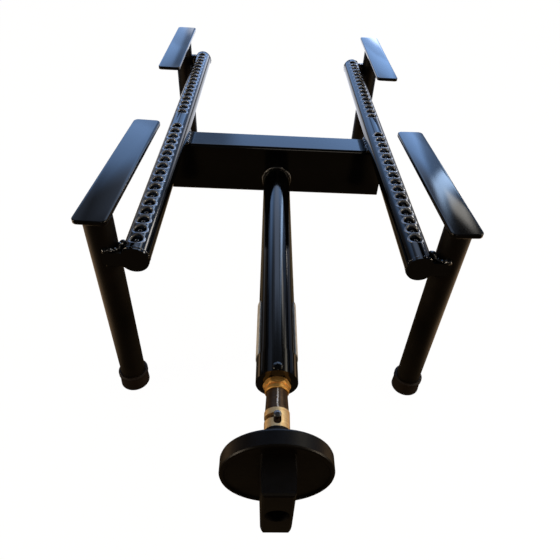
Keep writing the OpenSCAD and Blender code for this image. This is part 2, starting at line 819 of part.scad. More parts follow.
// Finger grip: square-shouldered at the top, rounded at its lower end, narrower in front
module grip(depth) {
    top_r = 3;
    taper_h = grip_h * 0.3;
    side_r = grip_h * 0.5;
    narrow = grip_draft / 2;
    intersection() {
        union() {
            linear_extrude(depth) union() {
                for (s = ends)
                    translate([s * (grip_w / 2 - top_r), grip_h / 2 - top_r]) circle(r = top_r);
                translate([-grip_w / 2, taper_h - grip_h / 2])
                    square([grip_w, grip_h - taper_h - top_r]);
                translate([top_r - grip_w / 2, 0]) square([grip_w - 2 * top_r, grip_h / 2]);
            }
            intersection() {
                translate([-grip_w / 2, -grip_h / 2, 0]) cube([grip_w, taper_h + eps, depth]);
                translate([grip_w / 2 - side_r, taper_h - grip_h / 2, 0])
                    cylinder(r = side_r, h = depth);
                translate([side_r - grip_w / 2, taper_h - grip_h / 2, 0])
                    cylinder(r = side_r, h = depth);
            }
        }
        rotate([90, 0, 0]) linear_extrude(2 * grip_h, center = true)
            grip_section(grip_w / 2, narrow, depth);
        rotate([90, 0, 90]) linear_extrude(2 * grip_w, center = true)
            grip_section(grip_h / 2, narrow, depth);
    }
}

// Half-width "half" at the disc, narrower by "narrow" in front, with eased front corners
module grip_section(half, narrow, depth) {
    ease = 2;
    polygon([
        [-half, 0], [half, 0], [half - narrow, depth - ease],
        [half - narrow - 0.35 * ease, depth - 0.35 * ease], [half - narrow - ease, depth],
        [ease + narrow - half, depth], [0.35 * ease + narrow - half, depth - 0.35 * ease],
        [narrow - half, depth - ease]
    ]);
}

module knob_screw() {
    seat = disc_t + grip_depth - grip_hole_depth;
    color(steel) facing_user(disc_rear_y) translate([0, 0, seat]) difference() {
        union() {
            pan_head(knob_screw_head_d, knob_screw_head_h);
            translate([0, 0, -knob_screw_len])
                cylinder(d = knob_screw_d, h = knob_screw_len + eps);
        }
        cross_recess(knob_screw_head_d, knob_screw_head_h);
    }
}

burner_tube(-1, 0);  // burner_tube_left
burner_tube(1, right_fewer);  // burner_tube_right
gas_tube(-1, 0);  // gas_tube_left
gas_tube(1, right_fewer);  // gas_tube_right
tube_cap(-1, -1);  // tube_cap_front_left
tube_cap(1, -1);  // tube_cap_front_right
tube_cap(-1, 1);  // tube_cap_rear_left
tube_cap(1, 1);  // tube_cap_rear_right
manifold_box();
manifold_end(-1);  // manifold_end_left
manifold_end(1);  // manifold_end_right
gas_riser(-1);  // gas_riser_left
gas_riser(1);  // gas_riser_right
leg(-1, -1);  // leg_front_left
leg(1, -1);  // leg_front_right
leg(-1, 1);  // leg_rear_left
leg(1, 1);  // leg_rear_right
foot_cap(-1, -1);  // foot_cap_front_left
foot_cap(1, -1);  // foot_cap_front_right
foot_cap(-1, 1);  // foot_cap_rear_left
foot_cap(1, 1);  // foot_cap_rear_right
kettle_rest(-1, -1);  // kettle_rest_front_left
kettle_rest(1, -1);  // kettle_rest_front_right
kettle_rest(-1, 1);  // kettle_rest_rear_left
kettle_rest(1, 1);  // kettle_rest_rear_right
leg_welds();
rest_welds();
manifold_welds();
mixing_tube_weld();
mixing_tube();
mouth_sleeve();
tube_plug();
plug_screw();
air_shutter();
jet_holder();
gas_jet();
valve_body();
gland_nut();
gas_inlet();
guide_screw();
valve_plug();
stem_seal();
slotted_collar();
control_knob();
knob_screw();
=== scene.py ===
import json
import math

import bmesh
import bpy
from mathutils import Matrix, Vector, noise


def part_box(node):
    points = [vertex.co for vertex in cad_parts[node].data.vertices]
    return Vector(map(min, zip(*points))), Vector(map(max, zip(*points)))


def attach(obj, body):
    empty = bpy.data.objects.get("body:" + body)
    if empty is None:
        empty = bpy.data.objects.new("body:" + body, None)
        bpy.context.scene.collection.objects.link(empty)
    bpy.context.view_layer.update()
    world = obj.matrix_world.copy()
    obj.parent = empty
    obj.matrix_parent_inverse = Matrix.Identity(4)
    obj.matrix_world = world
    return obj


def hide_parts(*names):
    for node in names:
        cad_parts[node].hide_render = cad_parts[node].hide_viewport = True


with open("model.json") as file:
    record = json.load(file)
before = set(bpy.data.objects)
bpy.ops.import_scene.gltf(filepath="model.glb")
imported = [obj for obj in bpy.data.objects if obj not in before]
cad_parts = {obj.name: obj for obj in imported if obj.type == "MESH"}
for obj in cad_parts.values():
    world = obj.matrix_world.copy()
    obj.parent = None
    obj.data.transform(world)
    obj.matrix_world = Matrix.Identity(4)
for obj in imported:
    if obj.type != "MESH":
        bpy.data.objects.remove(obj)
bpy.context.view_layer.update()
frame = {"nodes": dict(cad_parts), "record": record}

# ---------------------------------------------------------------- places and sizes, in metres


def middle(node):
    low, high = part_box(node)
    return (Vector(low) + Vector(high)) / 2


BURNER_Y = middle("manifold_box").y
BODY_REAR_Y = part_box("jet_holder")[0][1]
COLLAR_REAR_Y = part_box("slotted_collar")[1][1]
MOUTH_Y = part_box("mixing_tube")[0][1]

SIDES = {"left": -1, "right": 1}
ENDS = {"front": -1, "rear": 1}

BURNER_Z = 0.188
TUBE_X = 0.125
TUBE_R = 0.0127
TUBE_HALF = 0.2675
CAP_T = 0.0025

LEG_X = 0.1542
LEG_DY = 0.2523
LEG_R = 0.0127

REST_TOP = 0.2315
REST_T = 0.004
REST_W = 0.0285
REST_LEN = 0.195
REST_OUTER_DY = {-1: 0.2735, 1: 0.286}
REST_SHIFT = {-1: 0.0, 1: 0.0035}
REST_TOE = {-1: math.radians(2.8), 1: math.radians(0.3)}
REST_CORNER_R = 0.005
REST_TOP_ROUND = 0.0009
REST_UNDER_ROUND = 0.0004

BOX_TOP = 0.1753
BOX_FRONT_Y = BURNER_Y - 0.020
MIX_Z = 0.1306
MIX_R = 0.01685

PORT_PITCH = 0.0144
PORTS = 17
ROW_GAP = 0.043
PORT_TOP = 0.0098
PORT_RIM_R = 0.0014
RIM_WIRE_R = 0.0004
POCKET_R = 0.0065
LIP_W = 0.001

NEAR = 1e-6

# ---------------------------------------------------------------- camera

IMAGE_SIDE = 560
IMAGE_CENTRE = (287.85, 279.02)
FOCAL_LENGTH = 490.66
SENSOR_WIDTH = 36.0
CLIP_START = 0.01
CAMERA_PLACE = (-0.01427, BURNER_Y - 0.59751, 0.46147)
CAMERA_YAW = 0.0679
CAMERA_PITCH = 0.7186
CAMERA_ROLL = 0.0754


def add_camera():
    """Camera above the knob, looking back and down along the mixing tube. Its lens is worked out in pixels."""
    camera_data = bpy.data.cameras.new("camera")
    camera = bpy.data.objects.new("camera", camera_data)
    bpy.context.scene.collection.objects.link(camera)
    forward = Vector((math.sin(CAMERA_YAW) * math.cos(CAMERA_PITCH),
                      math.cos(CAMERA_YAW) * math.cos(CAMERA_PITCH),
                      -math.sin(CAMERA_PITCH)))
    level = Vector((math.cos(CAMERA_YAW), -math.sin(CAMERA_YAW), 0.0))
    up = level.cross(forward)
    right = math.cos(CAMERA_ROLL) * level + math.sin(CAMERA_ROLL) * up
    top = -math.sin(CAMERA_ROLL) * level + math.cos(CAMERA_ROLL) * up
    turn = Matrix((right, top, -forward)).transposed().to_4x4()
    camera.matrix_world = Matrix.Translation(CAMERA_PLACE) @ turn
    camera_data.sensor_width = SENSOR_WIDTH
    camera_data.lens = FOCAL_LENGTH / IMAGE_SIDE * SENSOR_WIDTH
    camera_data.shift_x = (IMAGE_SIDE / 2 - IMAGE_CENTRE[0]) / IMAGE_SIDE
    camera_data.shift_y = (IMAGE_CENTRE[1] - IMAGE_SIDE / 2) / IMAGE_SIDE
    camera_data.clip_start = CLIP_START
    bpy.context.scene.camera = camera


add_camera()

# ---------------------------------------------------------------- node helpers


def feed(tree, socket, value):
    """Links an output to a socket, or gives the socket a value of its own."""
    if isinstance(value, bpy.types.NodeSocket):
        tree.links.new(value, socket)
    else:
        socket.default_value = value


def calculated(tree, operation, *values):
    node = tree.nodes.new("ShaderNodeMath")
    node.operation = operation
    for socket, value in zip(node.inputs, values):
        feed(tree, socket, value)
    return node.outputs[0]


def scaled(tree, vector, factor):
    node = tree.nodes.new("ShaderNodeVectorMath")
    node.operation = "SCALE"
    feed(tree, node.inputs[0], vector)
    feed(tree, node.inputs["Scale"], factor)
    return node.outputs[0]


def added(tree, first, second):
    node = tree.nodes.new("ShaderNodeVectorMath")
    node.operation = "ADD"
    feed(tree, node.inputs[0], first)
    feed(tree, node.inputs[1], second)
    return node.outputs[0]


def mixed(tree, factor, first, second, blend="MIX"):
    node = tree.nodes.new("ShaderNodeMix")
    node.data_type = "RGBA"
    node.blend_type = blend
    feed(tree, node.inputs["Factor"], factor)
    feed(tree, node.inputs["A"], first)
    feed(tree, node.inputs["B"], second)
    return node.outputs["Result"]


def ramp(tree, value, stops):
    """Colour or grey at each value from 0 to 1, straight between the stops."""
    node = tree.nodes.new("ShaderNodeValToRGB")
    elements = node.color_ramp.elements
    while len(elements) < len(stops):
        elements.new(0.5)
    for element, (place, colour) in zip(elements, stops):
        element.position = place
        element.color = (*colour, 1.0) if isinstance(colour, tuple) else (colour, colour, colour, 1.0)
    tree.links.new(value, node.inputs["Fac"])
    return node.outputs["Color"]


def graded(tree, coordinate, stops):
    """Value along one direction, with stops from -1 to 1."""
    shifted = calculated(tree, "MULTIPLY_ADD", coordinate, 0.5, 0.5)
    return ramp(tree, shifted, [((place + 1.0) / 2.0, value) for place, value in stops])


def separated(tree, output_name):
    """X, Y and Z of one kind of texture coordinates."""
    coords = tree.nodes.new("ShaderNodeTexCoord")
    axes = tree.nodes.new("ShaderNodeSeparateXYZ")
    tree.links.new(coords.outputs[output_name], axes.inputs[0])
    return axes.outputs


def new_material(name):
    material = bpy.data.materials.new(name)
    material.use_nodes = True
    tree = material.node_tree
    shader = tree.nodes["Principled BSDF"]
    coords = tree.nodes.new("ShaderNodeTexCoord")
    return material, tree, shader, coords.outputs["Object"]


def add_noise(tree, coords, scale, detail=3.0, roughness=0.5, distortion=0.0):
    node = tree.nodes.new("ShaderNodeTexNoise")
    node.inputs["Scale"].default_value = scale
    node.inputs["Detail"].default_value = detail
    node.inputs["Roughness"].default_value = roughness
    node.inputs["Distortion"].default_value = distortion
    tree.links.new(coords, node.inputs["Vector"])
    return node.outputs["Fac"]


def add_bump(tree, shader, height, distance, strength):
    node = tree.nodes.new("ShaderNodeBump")
    node.inputs["Distance"].default_value = distance
    node.inputs["Strength"].default_value = strength
    tree.links.new(height, node.inputs["Height"])
    tree.links.new(node.outputs["Normal"], shader.inputs["Normal"])


def stretched(tree, coords, scale):
    node = tree.nodes.new("ShaderNodeMapping")
    node.inputs["Scale"].default_value = scale
    tree.links.new(coords, node.inputs["Vector"])
    return node.outputs["Vector"]

# ---------------------------------------------------------------- finishes

DEEP_BLACK = (0.0009, 0.0009, 0.001)
SOFT_BLACK = (0.002, 0.002, 0.0021)


def paint(name, dark, light, rough, level):
    """Sprayed paint: two shades in soft clouds, smeared gloss and fine orange peel."""
    material, tree, shader, coords = new_material(name)
    cloudy = add_noise(tree, coords, scale=55.0, detail=4.0, roughness=0.6)
    feed(tree, shader.inputs["Base Color"], ramp(tree, cloudy, [(0.35, dark), (0.7, light)]))
    smears = add_noise(tree, coords, scale=18.0, detail=5.0, roughness=0.65, distortion=0.4)
    feed(tree, shader.inputs["Roughness"], ramp(tree, smears, [(0.3, rough[0]), (0.75, rough[1])]))
    shader.inputs["Specular IOR Level"].default_value = level
    peel = add_noise(tree, coords, scale=700.0, detail=2.0, roughness=0.5)
    add_bump(tree, shader, peel, distance=0.00003, strength=0.5)
    return material, tree, shader, coords


def scuffed_paint():
    """Paint of the kettle rests, with patches of thin bright scratches."""
    material, tree, shader, coords = paint("rest_paint", DEEP_BLACK, SOFT_BLACK, rough=(0.06, 0.11), level=0.35)
    colour = shader.inputs["Base Color"].links[0].from_socket
    fine = add_noise(tree, stretched(tree, coords, (1.0, 0.16, 1.0)), scale=900.0, detail=2.0, roughness=0.6)
    patch = add_noise(tree, coords, scale=26.0, detail=3.0, roughness=0.5)
    lines = ramp(tree, fine, [(0.70, 0.0), (0.75, 1.0)])
    where = ramp(tree, patch, [(0.60, 0.0), (0.68, 1.0)])
    scratches = mixed(tree, 1.0, lines, where, blend="MULTIPLY")
    feed(tree, shader.inputs["Base Color"], mixed(tree, scratches, colour, (0.16, 0.16, 0.17, 1.0)))
    return material


def foot_rubber():
    material, tree, shader, coords = new_material("foot_rubber")
    cloudy = add_noise(tree, coords, scale=90.0, detail=4.0, roughness=0.6)
    shades = [(0.35, (0.007, 0.0031, 0.0014)), (0.7, (0.013, 0.0062, 0.003))]
    feed(tree, shader.inputs["Base Color"], ramp(tree, cloudy, shades))
    shader.inputs["Roughness"].default_value = 0.62
    shader.inputs["Specular IOR Level"].default_value = 0.25
    grain = add_noise(tree, coords, scale=1500.0, detail=3.0, roughness=0.6)
    add_bump(tree, shader, grain, distance=0.00006, strength=0.7)
    return material


def turned_metal(name, dark, light, roughness, scale, metallic=1.0, stained=0.55):
    """Metal with fine rings round the Y axis, as a lathe leaves them, and a brownish stain."""
    material, tree, shader, coords = new_material(name)
    rings = add_noise(tree, stretched(tree, coords, (0.12, 1.0, 0.12)), scale=scale, detail=4.0, roughness=0.6)
    stain = add_noise(tree, coords, scale=160.0, detail=4.0, roughness=0.65)
    base = ramp(tree, rings, [(0.3, dark), (0.7, light)])
    share = ramp(tree, stain, [(0.45, 0.0), (0.75, stained)])
    tarnished = mixed(tree, share, base, (0.62, 0.45, 0.33, 1.0), blend="MULTIPLY")
    feed(tree, shader.inputs["Base Color"], tarnished)
    shader.inputs["Metallic"].default_value = metallic
    uneven = ramp(tree, stain, [(0.3, roughness - 0.05), (0.8, roughness + 0.14)])
    feed(tree, shader.inputs["Roughness"], uneven)
    add_bump(tree, shader, rings, distance=0.00003, strength=0.6)
    return material


def moulded_plastic():
    material, tree, shader, coords = new_material("moulded_plastic")
    cloudy = add_noise(tree, coords, scale=30.0, detail=4.0, roughness=0.6)
    shades = [(0.3, (0.0020, 0.0012, 0.0006)), (0.75, (0.0046, 0.0028, 0.0015))]
    feed(tree, shader.inputs["Base Color"], ramp(tree, cloudy, shades))
    dusty = add_noise(tree, coords, scale=70.0, detail=5.0, roughness=0.7)
    feed(tree, shader.inputs["Roughness"], ramp(tree, dusty, [(0.35, 0.36), (0.75, 0.5)]))
    shader.inputs["Specular IOR Level"].default_value = 0.16
    grain = add_noise(tree, coords, scale=2200.0, detail=3.0, roughness=0.6)
    add_bump(tree, shader, grain, distance=0.00003, strength=0.8)
    return material


def zinc_sheet():
    material, tree, shader, coords = new_material("zinc_sheet")
    spangle = add_noise(tree, coords, scale=260.0, detail=3.0, roughness=0.6)
    shades = [(0.3, (0.62, 0.56, 0.46)), (0.7, (0.80, 0.74, 0.63))]
    feed(tree, shader.inputs["Base Color"], ramp(tree, spangle, shades))
    shader.inputs["Metallic"].default_value = 0.25
    shader.inputs["Roughness"].default_value = 0.5
    add_bump(tree, shader, spangle, distance=0.00002, strength=0.5)
    return material


PAINT = paint("black_paint", DEEP_BLACK, SOFT_BLACK, rough=(0.07, 0.13), level=0.35)[0]
REST_PAINT = scuffed_paint()
LEG_PAINT = paint("leg_paint", dark=(0.0026, 0.0016, 0.0008), light=(0.0056, 0.0034, 0.0016),
                  rough=(0.34, 0.48), level=0.2)[0]
WELD_PAINT = paint("weld_paint", dark=(0.0012, 0.0012, 0.0013), light=(0.003, 0.003, 0.0032),
                   rough=(0.05, 0.10), level=1.0)[0]
SOOTED = paint("sooted_paint", dark=(0.0012, 0.001, 0.001), light=(0.003, 0.0027, 0.0024),
               rough=(0.55, 0.75), level=0.12)[0]
RUBBER = foot_rubber()
BRASS = turned_metal("brass", dark=(0.80, 0.42, 0.11), light=(0.95, 0.57, 0.18),
                     roughness=0.50, scale=700.0, stained=0.15)
SATIN_BRASS = turned_metal("satin_brass", dark=(0.84, 0.58, 0.28), light=(1.0, 0.76, 0.42),
                           roughness=0.46, scale=900.0)
BRONZE = turned_metal("dark_bronze", dark=(0.055, 0.031, 0.016), light=(0.11, 0.068, 0.036),
                      roughness=0.32, scale=400.0, metallic=0.75)
STEEL = turned_metal("dull_steel", dark=(0.20, 0.20, 0.20), light=(0.42, 0.41, 0.40),
                     roughness=0.34, scale=900.0)
DARK_STEEL = turned_metal("dark_steel", dark=(0.13, 0.13, 0.13), light=(0.26, 0.26, 0.255),
                          roughness=0.30, scale=900.0)
# Near-white metal for the ridge on top of the valve body: a painted highlight along its top.
SEAM_HIGHLIGHT = turned_metal("seam_highlight_metal", dark=(0.70, 0.68, 0.64), light=(0.95, 0.93, 0.90),
                      roughness=0.50, scale=1400.0, metallic=0.5)
PRESSED = turned_metal("pressed_edge", dark=(0.10, 0.10, 0.11), light=(0.31, 0.33, 0.36),
                       roughness=0.16, scale=300.0, metallic=0.35, stained=0.0)
PLASTIC = moulded_plastic()
ZINC = zinc_sheet()

FINISHES = {
    "black_paint": PAINT,
    "rubber": RUBBER,
    "brass": BRASS,
    "satin_brass": SATIN_BRASS,
    "dark_bronze": BRONZE,
    "steel": STEEL,
    "zinc_sheet": ZINC,
    "black_plastic": PLASTIC,
}

for subpart in frame["record"]["subparts"]:
    node = frame["nodes"][subpart["node"]]
    node.data.materials.clear()
    node.data.materials.append(FINISHES[subpart["material_slot"]])
for name, node in frame["nodes"].items():
    if name.startswith("leg_") and name != "leg_welds":
        node.data.materials[0] = LEG_PAINT
    if name.startswith("gas_tube_"):
        node.data.materials[0] = SOOTED

# ---------------------------------------------------------------- mesh helpers


def smooth_faces(mesh):
    for face in mesh.polygons:
        face.use_smooth = True


def new_piece(made, name, material):
    """Makes a piece of the stand out of a finished bmesh, and frees the bmesh."""
    bmesh.ops.recalc_face_normals(made, faces=made.faces)
    mesh = bpy.data.meshes.new(name)
    made.to_mesh(mesh)
    made.free()
    smooth_faces(mesh)
    mesh.materials.append(material)
    piece = bpy.data.objects.new(name, mesh)
    bpy.context.scene.collection.objects.link(piece)
    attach(piece, "stand")
    return piece


def only_verts(geometry):
    return [item for item in geometry if isinstance(item, bmesh.types.BMVert)]


def spun(made, verts, edges, steps):
    """Turns a section once round the Z axis."""
    bmesh.ops.spin(made, geom=verts + edges, cent=(0, 0, 0), axis=(0, 0, 1), angle=math.tau,
                   steps=steps, use_merge=True)


def ring_of_edges(made, verts):
    return [made.edges.new((verts[k], verts[(k + 1) % len(verts)])) for k in range(len(verts))]


def rounded(made, edges, radius, segments):
    bmesh.ops.bevel(made, geom=edges, offset=radius, affect="EDGES", segments=segments,
                    profile=0.5, material=-1)


def sharpen(made, angle):
    """Marks the edges that bend more than the angle, so that smooth shading stops there."""
    for edge in made.edges:
        if len(edge.link_faces) == 2 and edge.calc_face_angle(0.0) > math.radians(angle):
            edge.smooth = False


def add_blob(made, place, radius, stretch=(1.0, 1.0, 1.0)):
    blob = bmesh.ops.create_icosphere(made, subdivisions=3, radius=radius)
    bmesh.ops.scale(made, verts=blob["verts"], vec=stretch)
    bmesh.ops.translate(made, verts=blob["verts"], vec=place)


def fuse(piece, voxel, rough):
    """Joins a piece's blobs into one skin and gives it an uneven, puddled surface."""
    remesh = piece.modifiers.new("join", "REMESH")
    remesh.mode = "VOXEL"
    remesh.voxel_size = voxel
    depsgraph = bpy.context.evaluated_depsgraph_get()
    joined = bpy.data.meshes.new_from_object(piece.evaluated_get(depsgraph))
    piece.modifiers.clear()
    made = bmesh.new()
    made.from_mesh(joined)
    bmesh.ops.smooth_vert(made, verts=made.verts, factor=0.5, use_axis_x=True, use_axis_y=True, use_axis_z=True)
    made.normal_update()
    for vertex in made.verts:
        wave = noise.noise(vertex.co * 420.0) + 0.6 * noise.noise(vertex.co * 1100.0)
        vertex.co += vertex.normal * wave * rough
    made.to_mesh(piece.data)
    made.free()
    bpy.data.meshes.remove(joined)
    smooth_faces(piece.data)


def wobble(step, seed, amount):
    """A repeatable uneven value about zero."""
    return noise.noise(Vector((step * 0.73 + 0.31, seed * 3.17, 0.5))) * amount

# ---------------------------------------------------------------- kettle rests


def rest_turn(side, end):
    """Place and turn of the middle of a rest's outer end, on its underside."""
    place = Matrix.Translation((side * (LEG_X - REST_SHIFT[end]),
                                BURNER_Y + end * REST_OUTER_DY[end],
                                REST_TOP - REST_T))
    return place @ Matrix.Rotation(-side * end * REST_TOE[end], 4, "Z")


def rest_rim(made, face):
    """Sharp level edges round a rest's top, with face 1, or its underside, with face -1."""
    return [edge for edge in made.edges
            if abs(edge.verts[0].co.z - edge.verts[1].co.z) < NEAR
            and face * edge.verts[0].co.z > REST_T / 2 - NEAR
            and edge.calc_face_angle(0.0) > 1.0]


def make_rest(side_name, end_name):
    side, end = SIDES[side_name], ENDS[end_name]
    made = bmesh.new()
    bmesh.ops.create_cube(made, size=1.0)
    bmesh.ops.scale(made, verts=made.verts, vec=(REST_W, REST_LEN, REST_T))
    corners = [edge for edge in made.edges if abs(edge.verts[0].co.z - edge.verts[1].co.z) > REST_T / 2]
    rounded(made, corners, REST_CORNER_R, segments=8)
    rounded(made, rest_rim(made, 1), REST_TOP_ROUND, segments=4)
    rounded(made, rest_rim(made, -1), REST_UNDER_ROUND, segments=2)
    bmesh.ops.translate(made, verts=made.verts, vec=(0.0, -end * REST_LEN / 2, REST_T / 2))
    bmesh.ops.transform(made, matrix=rest_turn(side, end), verts=made.verts)
    sharpen(made, 50)
    piece = new_piece(made, f"rest_bar_{end_name}_{side_name}", REST_PAINT)
    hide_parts(f"kettle_rest_{end_name}_{side_name}")


for side_name in SIDES:
    for end_name in ENDS:
        make_rest(side_name, end_name)

# ---------------------------------------------------------------- weld beads

# Middle lines of the beads at a leg: out from the tube's axis, in from its end, up from its axis.
UPPER_LEG_BEAD = [
    (0.0112, 0.0150, 0.0082), (0.0128, 0.0122, 0.0074), (0.0146, 0.0096, 0.0062), (0.0165, 0.0072, 0.0050),
    (0.0188, 0.0052, 0.0048), (0.0212, 0.0038, 0.0066), (0.0236, 0.0032, 0.0072), (0.0258, 0.0030, 0.0070),
]
LOWER_LEG_BEAD = [
    (0.0130, 0.0110, -0.0078), (0.0150, 0.0082, -0.0086), (0.0172, 0.0060, -0.0084),
    (0.0198, 0.0046, -0.0080), (0.0224, 0.0036, -0.0078), (0.0250, 0.0032, -0.0074),
]
UPPER_LEG_BEAD_R = 0.0024
LOWER_LEG_BEAD_R = 0.0018
BLOBS_PER_POINT = 3

EAR_BEAD_BLOBS = 7
EAR_BEAD_PITCH = 0.0022
EAR_BEAD_TOP = 0.004
EAR_BEAD_OUT = 0.0019
EAR_BEAD_IN = 0.0145
EAR_BEAD_R = 0.0024

REST_BEAD_BLOBS = 40
REST_BEAD_OUT = 0.0004
REST_BEAD_DROP = 0.0006
REST_BEAD_R = 0.0013

BOX_BEAD_BLOBS = 13
BOX_BEAD_PITCH = 0.003
BOX_BEAD_START = -0.018
BOX_BEAD_X = 0.0094
BOX_BEAD_LIFT = 0.0008
BOX_BEAD_R = 0.0027

MIX_BEAD_BLOBS = 34
MIX_BEAD_OUT = 0.0007
MIX_BEAD_AHEAD = 0.0006
MIX_BEAD_R = 0.0021


def make_leg_welds():
    """Lumpy beads from the tube's flank down to the leg, above and below the end plate's ear."""
    made = bmesh.new()
    for side in SIDES.values():
        for end in ENDS.values():
            seed = side * 2 + end
            for path, thick in ((UPPER_LEG_BEAD, UPPER_LEG_BEAD_R), (LOWER_LEG_BEAD, LOWER_LEG_BEAD_R)):
                for step in range(BLOBS_PER_POINT * (len(path) - 1) + 1):
                    share = step / BLOBS_PER_POINT
                    first = min(int(share), len(path) - 2)
                    spot = Vector(path[first]).lerp(Vector(path[first + 1]), share - first)
                    spot += Vector((wobble(step, seed, 0.0012),
                                    wobble(step + 7, seed, 0.0010),
                                    wobble(step + 3, seed + 3, 0.0016)))
                    place = (side * (TUBE_X + spot.x), BURNER_Y + end * (TUBE_HALF - spot.y), BURNER_Z + spot.z)
                    add_blob(made, place, thick + wobble(step * 1.3 + 5, seed, 0.0011))
            for step in range(EAR_BEAD_BLOBS):
                place = (side * (TUBE_X + TUBE_R + EAR_BEAD_OUT),
                         BURNER_Y + end * (TUBE_HALF - EAR_BEAD_IN),
                         BURNER_Z + (EAR_BEAD_TOP - EAR_BEAD_PITCH * step))
                add_blob(made, place, EAR_BEAD_R + wobble(step, seed, 0.0008))
    piece = new_piece(made, "leg_weld_beads", WELD_PAINT)
    fuse(piece, 0.0006, 0.00038)
    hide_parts("leg_welds")


def make_rest_welds():
    """Beads round the leg tops, where a rest covers them."""
    made = bmesh.new()
    underside = REST_TOP - REST_T
    for side in SIDES.values():
        for end in ENDS.values():
            seed = side * 5 + end
            turn = rest_turn(side, end)
            for step in range(REST_BEAD_BLOBS):
                angle = step * math.tau / REST_BEAD_BLOBS
                ring = LEG_R + REST_BEAD_OUT + wobble(step, seed, 0.0006)
                spot = Vector((side * LEG_X + ring * math.cos(angle),
                               BURNER_Y + end * LEG_DY + ring * math.sin(angle),
                               underside - REST_BEAD_DROP))
                inside = turn.inverted() @ spot
                if abs(inside.x) < REST_W / 2 - 0.0004:
                    radius = REST_BEAD_R + wobble(step + 3, seed, 0.0008)
                    add_blob(made, spot, radius, stretch=(1.0, 1.0, 0.8))
    piece = new_piece(made, "rest_weld_beads", WELD_PAINT)
    for vertex in piece.data.vertices:
        vertex.co.z = min(vertex.co.z, underside)
    fuse(piece, 0.0005, 0.00012)
    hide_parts("rest_welds")


def make_manifold_welds():
    """Beads along both flanks of each burner tube, on the manifold box."""
    made = bmesh.new()
    for side in SIDES.values():
        for flank in (-1, 1):
            seed = side * 7 + flank
            for step in range(BOX_BEAD_BLOBS):
                place = (side * TUBE_X + flank * (BOX_BEAD_X + wobble(step, seed, 0.0016)),
                         BURNER_Y + (BOX_BEAD_START + BOX_BEAD_PITCH * step),
                         BOX_TOP + BOX_BEAD_LIFT)
                radius = BOX_BEAD_R + wobble(step + 5, seed, 0.0014)
                add_blob(made, place, radius, stretch=(1.15, 0.9, 1.0))
    piece = new_piece(made, "manifold_weld_beads", WELD_PAINT)
    fuse(piece, 0.0005, 0.0002)
    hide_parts("manifold_welds")


def make_mixing_tube_weld():
    """Bead round the mixing tube, on the front of the manifold box."""
    made = bmesh.new()
    for step in range(MIX_BEAD_BLOBS):
        angle = step * math.tau / MIX_BEAD_BLOBS
        ring = MIX_R + MIX_BEAD_OUT + wobble(step, 3, 0.0006)
        place = (ring * math.cos(angle), BOX_FRONT_Y - MIX_BEAD_AHEAD, MIX_Z + ring * math.sin(angle))
        add_blob(made, place, MIX_BEAD_R + wobble(step + 5, 4, 0.0009))
    piece = new_piece(made, "mixing_tube_bead", WELD_PAINT)
    fuse(piece, 0.0005, 0.00015)
    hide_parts("mixing_tube_weld")


make_leg_welds()
make_rest_welds()
make_manifold_welds()
make_mixing_tube_weld()

# ---------------------------------------------------------------- pockets, flame ports and end plates

# Section of a pressed lip: share of the way out from the pocket's edge, height above the tube.
LIP_SECTION = [
    (-0.62, -0.0019), (-0.61, -0.0007), (-0.57, -0.00024), (-0.47, -0.00008), (-0.30, -0.00003),
    (0.0, 0.00003), (0.3, 0.00009), (0.55, 0.00013), (0.75, 0.00014), (0.9, 0.00008),
    (1.0, -0.00015), (0.6, -0.0006), (0.1, -0.0014), (-0.2, -0.0019),
]
LIP_STEPS = 36

RIM_SIDES = 6
RIM_STEPS = 16

SEAM_BLOBS = 44
SEAM_SUNK = 0.0006
SEAM_BEHIND = 0.0004
SEAM_R = 0.0012


def port_row(fewer):
    """Distances of a tube's ports from its middle, front row and then rear row."""
    front = [-ROW_GAP / 2 - step * PORT_PITCH for step in range(PORTS - fewer)]
    rear = [ROW_GAP / 2 + step * PORT_PITCH for step in range(fewer, PORTS)]
    return front + rear


def make_pocket_lips(side_name, fewer):
    """Edges of the pockets, drawn down into the tube: one section spun, then copied along the round tube."""
    made = bmesh.new()
    centre_x = SIDES[side_name] * TUBE_X
    section = [made.verts.new((POCKET_R + LIP_W * out, 0.0, height)) for out, height in LIP_SECTION]
    spun(made, section, ring_of_edges(made, section), LIP_STEPS)
    pattern = list(made.verts) + list(made.edges) + list(made.faces)
    for number, along in enumerate(port_row(fewer)):
        copied = bmesh.ops.duplicate(made, geom=pattern)["geom"]
        for vertex in only_verts(copied):
            x, y, height = vertex.co
            angle = math.atan2(y, x)
            out = math.hypot(x, y) - POCKET_R
            reach, lift = 1.0, height
            if out > 0:
                reach = 0.7 + 0.9 * math.cos(angle) ** 2
                lift = height * reach * (1.0 + wobble(angle * 2.2, number * 1.9 + centre_x * 40, 0.35))
            distance = POCKET_R + out * reach
            x, y = distance * math.cos(angle), distance * math.sin(angle)
            on_tube = math.sqrt(max(TUBE_R ** 2 - x ** 2, 0.0))
            vertex.co = (centre_x + x * (1 + lift / TUBE_R),
                         BURNER_Y + along + y,
                         BURNER_Z + on_tube * (1 + lift / TUBE_R))
    bmesh.ops.delete(made, geom=only_verts(pattern), context="VERTS")
    piece = new_piece(made, f"pocket_lips_{side_name}", PRESSED)


def make_port_rims(side_name, fewer):
    """Scorched bright rings on the mouths of the raised flame ports."""
    made = bmesh.new()
    turns = [k * math.tau / RIM_SIDES for k in range(RIM_SIDES)]
    for along in port_row(fewer):
        before = set(made.verts)
        section = [made.verts.new((PORT_RIM_R + RIM_WIRE_R * math.cos(turn), 0.0, RIM_WIRE_R * math.sin(turn)))
                   for turn in turns]
        spun(made, section, ring_of_edges(made, section), RIM_STEPS)
        place = (SIDES[side_name] * TUBE_X, BURNER_Y + along, BURNER_Z + PORT_TOP)
        bmesh.ops.translate(made, verts=[v for v in made.verts if v not in before], vec=place)
    piece = new_piece(made, f"port_rims_{side_name}", STEEL)


